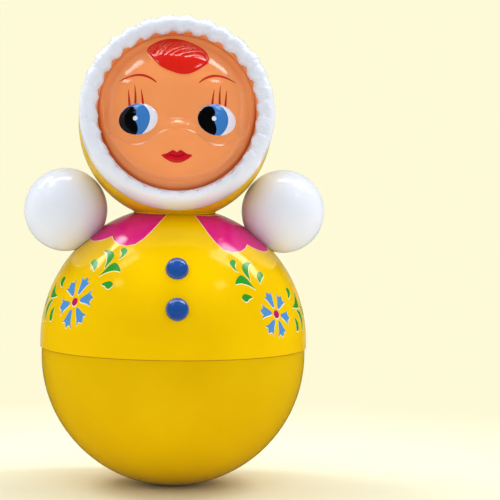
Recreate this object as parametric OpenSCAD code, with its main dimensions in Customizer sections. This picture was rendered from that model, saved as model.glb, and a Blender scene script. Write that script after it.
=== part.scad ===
// Roly poly doll: a weighted ball body with a hooded head, two ball hands and a chime inside.
// Millimetres, +Z up, the face looks along -Y. The origin is the middle of the flat under the body.

/* [Body] */
// Outside diameter of the body's upper dome
body_d = 120; // [112:1:130]
// Wall of the upper dome
body_wall = 2; // [1.6:0.1:2.6]
// How far the dome's skirt stands proud of the lower bowl, all round
seam_step = 0.6; // [0.3:0.1:1]
// Straight rim of the lower bowl, from its widest circle up to the seam
rim_h = 3.6; // [2:0.1:6]
// Straight skirt of the dome, from the seam up to its widest circle
skirt_h = 3.2; // [2:0.1:6]
// Height of the bowl's spigot inside the skirt
spigot_h = 6; // [4:0.5:9]
// Wall of the bowl's spigot
spigot_wall = 1.6; // [1.2:0.1:2.2]
// Diameter of the small moulded flat under the bowl
foot_d = 12; // [8:0.5:18]

/* [Head] */
// Outside diameter of the hood's ball
head_d = 87; // [80:0.5:94]
// Wall of the hood
head_wall = 1.8; // [1.4:0.1:2.4]
// How deep the head's ball is set into the dome's ball
head_sink = 6.3; // [5:0.1:7.5]
// Diameter of the neck, where the hood meets the body
neck_d = 37; // [34:0.5:40]
// Diameter of the neck spigot that turns in the body
neck_spigot_d = 25; // [20:0.5:28]
// Wall of the neck spigot
neck_spigot_wall = 2; // [1.6:0.1:3]
// Floor of the hood above the top of the dome
neck_floor = 2; // [1.5:0.1:3]
// Width of the ring that holds the neck spigot from inside
neck_ring_w = 5.5; // [4:0.1:7]
// Thickness of the retaining rings
ring_t = 2; // [1.5:0.1:3]
// Rim of the pads inside the body, outside the retaining rings
pad_rim = 1; // [0.5:0.1:2]
// How far the face looks up
face_tilt = 14; // [6:0.5:20]
// From the middle of the head to the plane of the hood's front rim
hood_rim = 14.7; // [12.5:0.1:16.5]

/* [Fur trim] */
// How far the trim stands proud of the hood's rim
trim_proud = 1.6; // [1.2:0.1:2]
// Width of the trim as seen from the front
trim_width = 7.1; // [6.5:0.1:9]
// Depth of the trim, from the hood's rim to its crest
trim_depth = 15; // [13:0.5:18]
// Wall of the trim
trim_wall = 1.8; // [1.4:0.1:2.2]
// Width of the hood's rim that the back of the trim sits on
rim_land = 0.4; // [0.2:0.1:0.8]

/* [Face] */
// Radius of curvature of the face
face_dome_r = 50; // [44:0.5:60]
// Ledge between the face's dome and the trim
face_ledge = 0.9; // [0.6:0.1:2]
// Straight side of the face above its flange
face_side_h = 2.5; // [1.5:0.1:4]
// Wall of the face
face_wall = 1.6; // [1.2:0.1:2]
// Depth of the face's flange behind the hood's rim plane, measured forwards
flange_in = 5; // [4:0.1:5.6]
// Wall of the hood's tongue that holds the trim
tongue_wall = 2; // [1.5:0.1:2.4]
// Length of the tongue in front of the hood's rim
tongue_h = 6; // [5.8:0.1:8]
// Length of the tongue's root inside the hood
tongue_root = 3; // [2:0.1:4]
// Distance between the eyes
eye_pitch = 34.8; // [30:0.2:38]
// How far the eyes are below the middle of the face
eye_drop = 5.2; // [3:0.1:7]
// Radius of curvature of an eye
eye_r = 17; // [14:0.5:20]
// How far an eye stands out
eye_proud = 1.5; // [0.8:0.1:2.2]
// Diameter of the tip of the nose
nose_d = 9; // [6:0.2:10]
// How far the nose is below the middle of the face
nose_drop = 9.4; // [7:0.1:12]
// How far the nose stands out
nose_proud = 2.2; // [1.5:0.1:3]
// Width of the lips
lips_w = 14; // [11:0.2:17]
// How far the lips are below the middle of the face
lips_drop = 21.6; // [19:0.2:23]
// How far the lips stand out
lips_proud = 0.8; // [0.4:0.1:1.2]
// Width of the forelock
lock_w = 27; // [22:0.5:30]
// Height of the forelock
lock_h = 18; // [14:0.5:19]
// How far the middle of the forelock is above the middle of the face
lock_rise = 24; // [22:0.5:25]
// How far the forelock stands out
lock_proud = 1.2; // [0.6:0.1:1.6]

/* [Hands] */
// Diameter of a hand
hand_d = 37.4; // [32:0.2:42]
// Wall of a hand
hand_wall = 1.6; // [1.2:0.1:2.2]
// Depth of the dished seat that a hand lies in
hand_sink = 2.7; // [2:0.1:3.4]
// Gap between a hand and the hood
hand_gap = 0.4; // [0.3:0.1:2]
// Diameter of a hand's stem
hand_stem_d = 9; // [7:0.2:11]
// Bore of a hand's stem
hand_stem_bore = 5; // [3:0.2:5.6]
// Width of the ring that holds a hand's stem from inside
hand_ring_w = 3.5; // [2.5:0.1:4.5]

/* [Buttons] */
// Diameter of a button
button_d = 10.2; // [8:0.2:12]
// Height of a button
button_h = 5.2; // [2:0.1:5.6]
// Angle of the upper button above the dome's widest circle
upper_button_angle = 36; // [30:1:42]
// Angle of the lower button above the dome's widest circle
lower_button_angle = 18; // [12:1:22]
// Diameter of a button's stem
button_stem_d = 3.6; // [3:0.1:4.4]
// Height of the barb on a button's stem
barb_h = 2; // [1.5:0.1:3]
// How far the barb stands out of the stem
barb_proud = 0.5; // [0.3:0.1:0.8]

/* [Ballast] */
// Height of the ballast
ballast_h = 16; // [13:0.5:18]
// Number of posts that hold the ballast
post_count = 3; // [3:1:4]
// Diameter of a post
post_d = 8; // [6.5:0.1:9]
// Diameter of the screws' shanks
screw_d = 3; // [2.5:0.1:3.4]
// Diameter of the screws' heads
screw_head_d = 5.5; // [5:0.1:6.5]
// Height of the screws' heads
screw_head_h = 2; // [1.6:0.1:2.6]
// Depth of the screws' holes in the plastic
screw_bite = 6.5; // [5:0.1:7]
// Space left under the screws' tips
screw_tip_room = 1; // [0.5:0.1:2]
// Gap between the chime's block and the heads of the posts' screws
post_gap = 0.8; // [0.5:0.1:2]

/* [Chime] */
// Thickness of the plate under the chime
plate_t = 3; // [2.4:0.1:4]
// Diameter of the boss under the plate
boss_d = 28; // [26:0.5:32]
// Thickness of the block that carries the rods
block_t = 6; // [5:0.1:8]
// Rim of the block outside the rods
block_rim = 2.5; // [2:0.1:3.5]
// Diameter of a chime rod
rod_d = 3; // [2.5:0.1:4]
// Free length of the longest rod
rod_len = 52; // [44:0.5:56]
// Each rod is this much shorter than the one before
rod_step = 4; // [2:0.5:6]
// Diameter of the frame's column
column_d = 7; // [6:0.1:9]
// Diameter of the frame's foot
frame_foot_d = 26; // [25:0.5:28]
// Thickness of the frame's foot
frame_foot_t = 3; // [2:0.1:4]
// Distance of the frame's screws from the middle
frame_screw_r = 9; // [8.6:0.1:9.6]

/* [Hammers] */
// Number of hammers, one for each rod
hammer_count = 4; // [3:1:6]
// Direction of the first hammer
hammer_start = 45; // [0:5:90]
// Diameter of a hammer's ball
ball_d = 8; // [6.5:0.1:9]
// Room for the ball to swing, on either side
swing_room = 4.5; // [3.5:0.1:6]
// Length of a hammer, from its pin to the middle of its ball
hammer_len = 30; // [26:0.5:34]
// Height of the ball above the frame's foot
ball_lift = 3; // [2:0.1:5]
// Diameter of a hinge pin
pin_d = 2; // [1.6:0.1:2.4]
// Diameter of a hammer's eye
eye_d = 5; // [4.6:0.1:6]
// Width of a hammer's eye, along its pin
eye_w = 3; // [2.4:0.1:4]
// Thickness of an ear of the frame
ear_t = 1.6; // [1.2:0.1:2.4]
// Width of the frame's ears
ear_w = 6.4; // [5.6:0.1:8]
// Side of a hammer's square arm
arm_side = 2.2; // [1.8:0.1:2.6]
// Diameter of the tip of the arm, inside the ball
arm_tip_d = 1.8; // [1.4:0.1:1.8]

/* [Fits] */
// Clearance between pieces that are pushed or glued together
fit = 0.1; // [0.05:0.01:0.15]
// Clearance round a pin or a spigot that turns
run = 0.08; // [0.04:0.01:0.1]
// Gap between curved faces that lie against each other
gap = 0.3; // [0.2:0.05:0.4]

/* [Hidden] */
$fn = 96;
cut = 1;
yellow = "#F2C200";
white = "#F4F4F2";
flesh = "#F0A070";
blue = "#3A66B5";
steel = "#B8BCC0";
iron = "#55565A";
natural = "#E6E2D6";

body_r = body_d / 2;
bowl_r = body_r - seam_step;
bowl_z = sqrt(pow(bowl_r, 2) - pow(foot_d / 2, 2));
seam_z = bowl_z + rim_h;
dome_z = seam_z + skirt_h;
dome_in_r = body_r - body_wall;
spigot_r = sqrt(pow(dome_in_r, 2) - pow(max(0, spigot_h - skirt_h), 2)) - fit;
bowl_in_r = spigot_r - spigot_wall;

head_r = head_d / 2;
head_z = dome_z + body_r + head_r - head_sink;
neck_spigot_r = neck_spigot_d / 2;
neck_ring_r = neck_spigot_r + neck_ring_w;
neck_boss_r = neck_ring_r + pad_rim;
neck_pad_z = dome_z + sqrt(pow(dome_in_r, 2) - pow(neck_boss_r, 2)) - gap;
neck_ring_z = neck_pad_z - gap - ring_t;
neck_end_z = neck_ring_z - ring_t;
neck_floor_z = dome_z + body_r + gap + neck_floor;
neck_root_z = dome_z + sqrt(pow(body_r, 2) - pow(neck_d / 2, 2)) - body_wall;

rim_r = sqrt(pow(head_r, 2) - pow(hood_rim, 2));
trim_out_r = rim_r + trim_proud;
trim_in_r = trim_out_r - trim_width;
crest_w = hood_rim + trim_depth;
trim_hole_r = min(rim_r - rim_land, trim_out_r - trim_wall);
tongue_r = trim_hole_r - fit;
flange_r = tongue_r - tongue_wall - fit;
flange_w = hood_rim + flange_in;
face_r = trim_in_r - face_ledge;
face_base_w = flange_w + face_side_h;
face_mid_w = face_base_w - sqrt(pow(face_dome_r, 2) - pow(face_r, 2));

hand_r = hand_d / 2;
hand_reach = body_r + hand_r - hand_sink;
head_reach = head_z - dome_z;
hand_to_head = hand_r + head_r + hand_gap;
hand_lean = acos((pow(hand_reach, 2) + pow(head_reach, 2) - pow(hand_to_head, 2))
    / (2 * hand_reach * head_reach));
hand_stem_r = hand_stem_d / 2;
hand_ring_r = hand_stem_r + hand_ring_w;
hand_boss_r = hand_ring_r + pad_rim;
hand_pad = hand_reach - hand_r - body_wall - 2 * gap;
hand_ring_at = hand_pad - gap - ring_t;
hand_end = hand_ring_at - ring_t;

button_top = body_r + button_h;
button_edge = sqrt(pow(body_r, 2) - pow(button_d / 2, 2));
button_ball_r = (pow(button_d / 2, 2) + pow(button_top - button_edge, 2)) / (2 * (button_top - button_edge));

ballast_r = bowl_in_r - gap;
ballast_z = bowl_z - ballast_r;
ballast_top = ballast_z + ballast_h;
column_r = column_d / 2;
pivot_r = column_r + swing_room + ball_d / 2;
rod_ring_r = pivot_r + ball_d / 2 + swing_room + rod_d / 2;
block_r = rod_ring_r + rod_d / 2 + block_rim;
post_ring_r = block_r + post_gap + screw_head_d / 2;
plate_r = post_ring_r + post_d / 2;
post_top = ballast_top - gap;
plate_top = ballast_top + plate_t;
block_top = plate_top + block_t;
foot_top = block_top + frame_foot_t;
boss_h = screw_bite;
recess_h = boss_h + gap;
ball_z = foot_top + ball_lift + ball_d / 2;
pivot_z = ball_z + hammer_len;
ear_in = eye_w / 2 + 2 * fit;
ear_out = ear_in + ear_t;
frame_screw_len = frame_foot_t + block_t + plate_t + screw_bite - screw_tip_room;
post_screw_len = plate_t + gap + screw_bite - screw_tip_room;

HAMMERS = [1 : hammer_count];
function numbered(name) = [for (i = HAMMERS) str(name, "_", i)];

// Places

// The face's own frame: +X to the doll's left, +Y up the face, +Z out of it
module on_face() {
    translate([0, 0, head_z]) rotate([90 - face_tilt, 0, 0]) children();
}

// A hand's own frame, with +Z out of the middle of the dome: side 1 is at +X and side -1 at -X
module on_hand(side) {
    translate([0, 0, dome_z]) rotate([0, side * hand_lean, 0]) children();
}

// A button's own frame, with +Z out of the middle of the dome
module on_button(angle) {
    translate([0, 0, dome_z]) rotate([90 - angle, 0, 0]) children();
}

module at_posts() {
    for (i = [0 : post_count - 1]) rotate([0, 0, 90 + i * 360 / post_count])
        translate([post_ring_r, 0, 0]) children();
}

module at_frame_screws() {
    for (x = [-frame_screw_r, frame_screw_r]) translate([x, 0, 0]) children();
}

// A hammer's own frame: +X outwards, +Y along its pin
module at_hammer(i) {
    rotate([0, 0, hammer_start + (i - 1) * 360 / hammer_count]) children();
}

// A cylinder along Y, centred
module cross_cylinder(d, h) {
    rotate([90, 0, 0]) cylinder(d = d, h = h, center = true);
}

module ring(r_in, r_out, h) {
    difference() {
        cylinder(r = r_out, h = h);
        translate([0, 0, -cut]) cylinder(r = r_in, h = h + 2 * cut);
    }
}

// A screw whose head rests on z = 0
module screw(length) {
    slot_w = screw_head_d / 5;
    translate([0, 0, -length]) cylinder(d = screw_d, h = length + screw_head_h / 2);
    difference() {
        cylinder(d = screw_head_d, h = screw_head_h);
        for (a = [0, 90]) {
            rotate([0, 0, a]) translate([0, 0, screw_head_h])
                cube([screw_head_d * 0.7, slot_w, screw_head_h], center = true);
        }
    }
}

// Body

// Half sections of the bowl and the dome, turned about the axis
module bowl_outline() {
    intersection() {
        translate([0, bowl_z]) circle(r = bowl_r);
        square([bowl_r, bowl_z]);
    }
    translate([0, bowl_z]) square([bowl_r, rim_h]);
    translate([0, bowl_z]) square([spigot_r, rim_h + spigot_h]);
}

module bowl_hollow() {
    intersection() {
        translate([0, bowl_z]) circle(r = bowl_in_r);
        square([bowl_in_r, bowl_z]);
    }
    translate([0, bowl_z]) square([bowl_in_r, rim_h + spigot_h + cut]);
}

module dome_outline(r, low) {
    translate([0, dome_z]) intersection() {
        circle(r = r);
        square(r);
    }
    translate([0, low]) square([r, dome_z - low]);
}

module lower_shell() {
    color(yellow) difference() {
        rotate_extrude() bowl_outline();
        difference() {
            rotate_extrude() bowl_hollow();
            at_posts() cylinder(d = post_d, h = post_top);
        }
        at_posts() translate([0, 0, post_top - screw_bite]) cylinder(d = screw_d + fit, h = screw_bite + cut);
    }
}

module hand_boss() {
    translate([0, 0, hand_reach]) sphere(r = hand_r + gap + body_wall);
    translate([0, 0, hand_pad]) cylinder(r = hand_boss_r, h = hand_r);
}

module hand_socket() {
    translate([0, 0, hand_reach]) sphere(r = hand_r + gap);
    translate([0, 0, hand_pad - cut]) cylinder(r = hand_stem_r + run, h = hand_r);
}

module upper_shell() {
    color(yellow) difference() {
        rotate_extrude() dome_outline(body_r, seam_z);
        difference() {
            rotate_extrude() dome_outline(dome_in_r, seam_z - cut);
            translate([0, 0, neck_pad_z]) cylinder(r = neck_boss_r, h = body_r);
            for (side = [-1, 1]) on_hand(side) hand_boss();
        }
        translate([0, 0, neck_end_z]) cylinder(r = neck_spigot_r + run, h = body_r);
        for (side = [-1, 1]) on_hand(side) hand_socket();
        for (angle = [upper_button_angle, lower_button_angle]) on_button(angle)
            cylinder(d = button_stem_d + 2 * fit, h = body_r + cut);
    }
}

module button(angle) {
    color(blue) on_button(angle) {
        difference() {
            translate([0, 0, button_top - button_ball_r]) sphere(r = button_ball_r);
            sphere(r = body_r + fit);
        }
        translate([0, 0, dome_in_r - gap]) cylinder(d = button_stem_d, h = body_wall + gap + button_h / 2);
        translate([0, 0, dome_in_r - gap - barb_h])
            cylinder(d1 = button_stem_d - 2 * barb_proud, d2 = button_stem_d + 2 * barb_proud, h = barb_h);
    }
}

// Head

module hood_ball() {
    difference() {
        translate([0, 0, head_z]) sphere(r = head_r);
        translate([0, 0, head_z]) sphere(r = head_r - head_wall);
        on_face() translate([0, 0, hood_rim]) cylinder(r = head_r, h = head_r);
    }
}

module hood_shell() {
    color(yellow) difference() {
        union() {
            difference() {
                union() {
                    hood_ball();
                    translate([0, 0, neck_root_z]) cylinder(d = neck_d, h = neck_floor_z - neck_root_z);
                }
                translate([0, 0, dome_z]) sphere(r = body_r + gap);
            }
            on_face() translate([0, 0, hood_rim - tongue_root])
                ring(tongue_r - tongue_wall, tongue_r, tongue_root + tongue_h);
            translate([0, 0, neck_end_z]) cylinder(r = neck_spigot_r, h = neck_floor_z - neck_end_z);
        }
        translate([0, 0, neck_end_z - cut]) cylinder(r = neck_spigot_r - neck_spigot_wall, h = head_r);
    }
}

module neck_retainer() {
    color(natural) translate([0, 0, neck_ring_z]) ring(neck_spigot_r + fit, neck_ring_r, ring_t);
}

// A strip from r0 to r1 with a round end at w1
module round_strip(r0, r1, w0, w1) {
    half = (r1 - r0) / 2;
    translate([r0, w0]) square([2 * half, w1 - half - w0]);
    translate([r0 + half, w1 - half]) circle(r = half);
}

module fur_trim() {
    color(white) difference() {
        on_face() rotate_extrude() difference() {
            round_strip(trim_in_r, trim_out_r, hood_rim, crest_w);
            round_strip(trim_in_r + trim_wall, trim_hole_r, hood_rim - cut, crest_w - trim_wall);
            translate([0, hood_rim - cut]) square([trim_in_r + trim_wall + fit, flange_w - hood_rim + cut]);
        }
        translate([0, 0, dome_z]) sphere(r = body_r + gap);
    }
}

// A round swelling of the face at x, y, rooted in the face's wall
module swelling(x, y, r, proud) {
    root = face_dome_r - 0.9 * face_wall;
    lean = asin(norm([x, y]) / face_dome_r);
    translate([0, 0, face_mid_w]) rotate([0, 0, atan2(y, x)]) rotate([0, lean, 0]) intersection() {
        translate([0, 0, face_dome_r + proud - r]) sphere(r = r);
        translate([0, 0, root]) cylinder(r = r + cut, h = r);
    }
}

// An outline raised from the face by an even height
module raised(proud) {
    intersection() {
        translate([0, 0, face_mid_w]) sphere(r = face_dome_r + proud);
        translate([0, 0, face_base_w]) linear_extrude(face_dome_r) children();
    }
}

// Two upper lobes over one wide lower lobe
module lips_outline() {
    lobe = lips_w / 4;
    for (x = [-lobe, lobe]) translate([x * 0.9, 0]) intersection() {
        translate([0, -lobe]) circle(r = 1.6 * lobe);
        translate([0, lobe * 0.2]) circle(r = 1.15 * lobe);
    }
    intersection() {
        translate([0, lobe * 1.6]) circle(r = 2.7 * lobe);
        translate([0, -lobe * 0.5]) circle(r = lobe * 1.5);
    }
}

// A leaf between two arcs
module lock_outline() {
    r = (pow(lock_w / 2, 2) + pow(lock_h / 2, 2)) / lock_h;
    rotate(-12) intersection() {
        translate([0, r - lock_h / 2]) circle(r = r);
        translate([0, lock_h / 2 - r]) circle(r = r);
    }
}

module face_plate() {
    color(flesh) on_face() difference() {
        union() {
            translate([0, 0, flange_w - face_wall]) cylinder(r = flange_r, h = face_wall);
            translate([0, 0, flange_w - face_wall]) cylinder(r = face_r, h = face_wall + face_side_h);
            intersection() {
                translate([0, 0, face_mid_w]) sphere(r = face_dome_r);
                translate([0, 0, face_base_w]) cylinder(r = face_r, h = face_dome_r);
            }
            for (side = [-1, 1]) swelling(side * eye_pitch / 2, -eye_drop, eye_r, eye_proud);
            swelling(0, -nose_drop, nose_d / 2, nose_proud);
            raised(lips_proud) translate([0, -lips_drop]) lips_outline();
            raised(lock_proud) translate([0, lock_rise]) lock_outline();
        }
        intersection() {
            translate([0, 0, face_mid_w]) sphere(r = face_dome_r - face_wall);
            translate([0, 0, flange_w - face_wall - cut]) cylinder(r = face_r - face_wall, h = face_dome_r);
        }
    }
}

// Hands

module hand(side) {
    color(white) on_hand(side) difference() {
        union() {
            translate([0, 0, hand_reach]) sphere(r = hand_r);
            translate([0, 0, hand_end]) cylinder(r = hand_stem_r, h = hand_reach - hand_end);
        }
        translate([0, 0, hand_reach]) sphere(r = hand_r - hand_wall);
        translate([0, 0, hand_end - cut]) cylinder(d = hand_stem_bore, h = hand_reach - hand_end);
    }
}

module hand_retainer(side) {
    color(natural) on_hand(side) translate([0, 0, hand_ring_at]) ring(hand_stem_r + fit, hand_ring_r, ring_t);
}

// Ballast and chime

module ballast() {
    color(iron) difference() {
        intersection() {
            translate([0, 0, bowl_z]) sphere(r = ballast_r);
            translate([0, 0, ballast_z - cut]) cylinder(r = ballast_r, h = ballast_h + cut);
        }
        at_posts() cylinder(d = post_d + 2 * gap, h = ballast_top + cut);
        translate([0, 0, ballast_top - recess_h]) cylinder(d = boss_d + 2 * gap, h = recess_h + cut);
    }
}

module ballast_screws() {
    color(steel) at_posts() translate([0, 0, plate_top]) screw(post_screw_len);
}

module chime_plate() {
    color(natural) difference() {
        union() {
            translate([0, 0, ballast_top]) cylinder(r = plate_r, h = plate_t);
            translate([0, 0, ballast_top - boss_h]) cylinder(d = boss_d, h = boss_h + plate_t / 2);
        }
        at_posts() cylinder(d = screw_d + 2 * fit, h = plate_top + cut);
        at_frame_screws() translate([0, 0, ballast_top - boss_h - cut])
            cylinder(d = screw_d + fit, h = boss_h + plate_t + 2 * cut);
    }
}

module rod_block() {
    color(steel) translate([0, 0, plate_top]) difference() {
        cylinder(r = block_r, h = block_t);
        for (i = HAMMERS) at_hammer(i) translate([rod_ring_r, 0, -cut])
            cylinder(d = rod_d + fit, h = block_t + 2 * cut);
        at_frame_screws() translate([0, 0, -cut]) cylinder(d = screw_d + 2 * fit, h = block_t + 2 * cut);
    }
}

module chime_rod(i) {
    free = rod_len - (i - 1) * rod_step;
    tip = rod_d / 6;
    color(steel) at_hammer(i) translate([rod_ring_r, 0, plate_top]) {
        cylinder(d = rod_d, h = block_t + free - tip);
        translate([0, 0, block_t + free - tip]) cylinder(d1 = rod_d, d2 = rod_d - 2 * tip, h = tip);
    }
}

module frame_ears(i) {
    at_hammer(i) for (side = [-1, 1]) translate([0, side * (ear_in + ear_t / 2), pivot_z]) {
        translate([pivot_r / 2, 0, 0]) cube([pivot_r, ear_t, ear_w], center = true);
        translate([pivot_r, 0, 0]) cross_cylinder(ear_w, ear_t);
    }
}

module hammer_frame() {
    color(natural) difference() {
        union() {
            translate([0, 0, block_top]) cylinder(d = frame_foot_d, h = frame_foot_t);
            translate([0, 0, block_top]) cylinder(r = column_r, h = pivot_z + ear_w / 2 - block_top);
            for (i = HAMMERS) frame_ears(i);
        }
        for (i = HAMMERS) at_hammer(i) translate([pivot_r, 0, pivot_z])
            cross_cylinder(pin_d + fit / 2, 2 * ear_out + cut);
        at_frame_screws() translate([0, 0, block_top - cut])
            cylinder(d = screw_d + 2 * fit, h = frame_foot_t + 2 * cut);
    }
}

module frame_screws() {
    color(steel) at_frame_screws() translate([0, 0, foot_top]) screw(frame_screw_len);
}

module hammer_pins() {
    color(steel) for (i = HAMMERS) at_hammer(i) translate([pivot_r, 0, pivot_z])
        cross_cylinder(pin_d, 2 * ear_out);
}

module hammer_arm(i) {
    tip_top = ball_z + ball_d / 2;
    color(natural) at_hammer(i) translate([pivot_r, 0, 0]) {
        difference() {
            union() {
                translate([0, 0, pivot_z]) cross_cylinder(eye_d, eye_w);
                translate([-arm_side / 2, -arm_side / 2, tip_top])
                    cube([arm_side, arm_side, pivot_z - tip_top]);
            }
            translate([0, 0, pivot_z]) cross_cylinder(pin_d + 2 * run, eye_w + cut);
        }
        translate([0, 0, ball_z]) cylinder(d = arm_tip_d, h = tip_top - ball_z + cut);
    }
}

module hammer_head(i) {
    color(steel) at_hammer(i) translate([pivot_r, 0, ball_z]) difference() {
        sphere(d = ball_d);
        cylinder(d = arm_tip_d + fit, h = ball_d);
    }
}

lower_shell();
upper_shell();
hood_shell();
fur_trim();
face_plate();
hand(1);  // hand_left
hand(-1);  // hand_right
button(upper_button_angle);  // button_upper
button(lower_button_angle);  // button_lower
neck_retainer();
hand_retainer(1);  // hand_retainer_left
hand_retainer(-1);  // hand_retainer_right
ballast();
ballast_screws();
chime_plate();
rod_block();
hammer_frame();
frame_screws();
hammer_pins();
for (i = HAMMERS) {
    chime_rod(i);
    hammer_arm(i);
    hammer_head(i);
}
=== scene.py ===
# %% [markdown]
# This lesson dresses a round-bottomed doll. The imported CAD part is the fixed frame: every shell, hand and
# button is already at its real place and size, so this script only adds what paint, fur and light add.

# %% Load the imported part
import math

import bpy
import numpy as np
from mathutils import Matrix, Vector
from mathutils.geometry import delaunay_2d_cdt


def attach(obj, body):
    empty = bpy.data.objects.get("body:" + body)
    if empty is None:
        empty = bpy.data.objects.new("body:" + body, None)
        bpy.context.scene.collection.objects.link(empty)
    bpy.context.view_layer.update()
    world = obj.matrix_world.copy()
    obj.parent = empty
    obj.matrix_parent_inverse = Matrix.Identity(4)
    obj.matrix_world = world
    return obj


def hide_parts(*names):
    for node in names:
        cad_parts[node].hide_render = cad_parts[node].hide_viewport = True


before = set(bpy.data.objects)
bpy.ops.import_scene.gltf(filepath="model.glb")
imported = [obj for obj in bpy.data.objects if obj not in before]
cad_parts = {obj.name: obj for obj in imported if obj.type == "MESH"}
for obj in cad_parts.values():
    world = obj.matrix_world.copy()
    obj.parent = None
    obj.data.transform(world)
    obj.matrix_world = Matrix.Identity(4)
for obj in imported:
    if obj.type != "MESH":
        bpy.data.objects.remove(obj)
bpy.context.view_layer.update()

scene = bpy.context.scene
MM = 0.001
FULL_TURN = 2 * math.pi

# %% [markdown]
# A colour is easiest to write as an sRGB hex value, but shaders work in linear light, so one function turns
# the first into the second. A second small function adds a node, sets its properties and fills its sockets.
# An output can be wrapped as a term, and terms are reckoned with like numbers: each sign adds one node.

# %% Colour and node helpers
NOISE, RANGE, MIX, MATH = "ShaderNodeTexNoise", "ShaderNodeMapRange", "ShaderNodeMix", "ShaderNodeMath"
VECTOR, APART, TOGETHER = "ShaderNodeVectorMath", "ShaderNodeSeparateXYZ", "ShaderNodeCombineXYZ"
# what a term can do beside plain arithmetic: the kind of node, its sockets in order, its settings
SPECIAL = {
    "STEP": (RANGE, range(5), {"interpolation_type": "SMOOTHSTEP"}),
    "RANGE": (RANGE, range(5), {}),
    "MIX": (MIX, (0, 2, 3), {}),
    "ADD CLAMPED": (MATH, (0, 1), {"operation": "ADD", "use_clamp": True}),
    "VECTOR ADD": (VECTOR, (0, 1), {"operation": "ADD"}),
    "VECTOR SCALE": (VECTOR, (0, "Scale"), {"operation": "SCALE"}),
}


def linear(code):
    """An sRGB hex colour as linear red, green, blue and alpha."""
    parts = [int(code[i:i + 2], 16) / 255 for i in (1, 3, 5)]
    return [c / 12.92 if c <= 0.04045 else ((c + 0.055) / 1.055) ** 2.4 for c in parts] + [1.0]


def add(tree, kind, sockets=None, **settings):
    """Adds a node with its settings; a socket takes a plain value, an output, or the first output of a node."""
    node = tree.nodes.new(kind)
    for key, value in settings.items():
        setattr(node, key, value)
    for key, value in (sockets or {}).items():
        value = value.outputs[0] if hasattr(value, "outputs") else value
        if isinstance(value, bpy.types.NodeSocket):
            tree.links.new(value, node.inputs[key])
        else:
            node.inputs[key].default_value = value
    return node


class Term:
    """An output to reckon with: each sign between terms and numbers adds one node to its tree."""

    def __init__(self, output):
        self.tree, self.outputs = output.id_data, [output]

    def to(self, operation, *others, first=None):
        """The result of an operation on this term and others, or on another one first."""
        kind, keys, settings = SPECIAL.get(operation, (MATH, range(3), {"operation": operation}))
        values = (self, *others) if first is None else (first, self)
        return Term(add(self.tree, kind, dict(zip(keys, values)), **settings).outputs[0])


for sign, operation in dict(add="ADD", sub="SUBTRACT", mul="MULTIPLY", truediv="DIVIDE", pow="POWER").items():
    setattr(Term, f"__{sign}__", lambda a, b, operation=operation: a.to(operation, b))
    setattr(Term, f"__r{sign}__", lambda a, b, operation=operation: a.to(operation, first=b))


def read(node):
    """A node's outputs by name, as terms."""
    return {output.name: Term(output) for output in node.outputs}


print("yellow is", [round(c, 3) for c in linear("#F0BE00")])

# %% [markdown]
# The photograph was taken from far off with a long lens, a little above the seam and a little to the doll's
# right. The camera looks past the doll, because the doll stands left of the middle of the frame, and it is
# rolled by less than a degree. Turning the camera does this without any lens shift.

# %% Camera
PHOTO_WIDTH_PX = 500
SENSOR_MM = 36.0
FOCAL_PX = 2663.4
CLIP_NEAR, CLIP_FAR = 0.05, 50
CAMERA_AZIMUTH, CAMERA_DISTANCE, CAMERA_HEIGHT = -1.6, 1200.0, 189.55
AIM_RIGHT, AIM_UP, CAMERA_ROLL = 34.22, 106.53, 0.69


def around(azimuth, elevation, distance, middle=(0, 0, 0)):
    """A point in metres, seen from the middle: azimuth 0 is the doll's front and 90 is its left."""
    az, el = math.radians(azimuth), math.radians(elevation)
    way = Vector((math.sin(az) * math.cos(el), -math.cos(az) * math.cos(el), math.sin(el)))
    return way * distance + Vector(middle)


def aimed(name, data, place, target, spin=0.0):
    """A camera or a lamp that looks from its place at a target, spun about its line of sight."""
    obj = bpy.data.objects.new(name, data)
    scene.collection.objects.link(obj)
    look = (Vector(target) - place).to_track_quat("-Z", "Y").to_matrix().to_4x4()
    obj.matrix_world = Matrix.Translation(place) @ look @ Matrix.Rotation(math.radians(spin), 4, "Z")
    return obj


lens = bpy.data.cameras.new("camera")
lens.sensor_width = SENSOR_MM
lens.lens = FOCAL_PX * SENSOR_MM / PHOTO_WIDTH_PX
lens.clip_start, lens.clip_end = CLIP_NEAR, CLIP_FAR
stand = around(CAMERA_AZIMUTH, 0, CAMERA_DISTANCE * MM, (0, 0, CAMERA_HEIGHT * MM))
aim = around(CAMERA_AZIMUTH + 90, 0, AIM_RIGHT * MM, (0, 0, AIM_UP * MM))
scene.camera = aimed("camera", lens, stand, aim, CAMERA_ROLL)
scene.view_settings.view_transform = "Standard"
print("lens", round(lens.lens, 1), "mm")

# %% [markdown]
# The highlights on the body, the hands and the face say where the lamps stood: a strip on each side, a little
# behind the doll and halfway up, smaller ones above and before them, and a wide bar overhead. A large weak fill
# in front and a narrow spot on the chin stand for light that the room throws back, and show in no reflection.

# %% Lamps
DOLL_MIDDLE, LAMP_WHITE = (0, 0, 0.11), (0.96, 0.98, 1.0)
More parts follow.
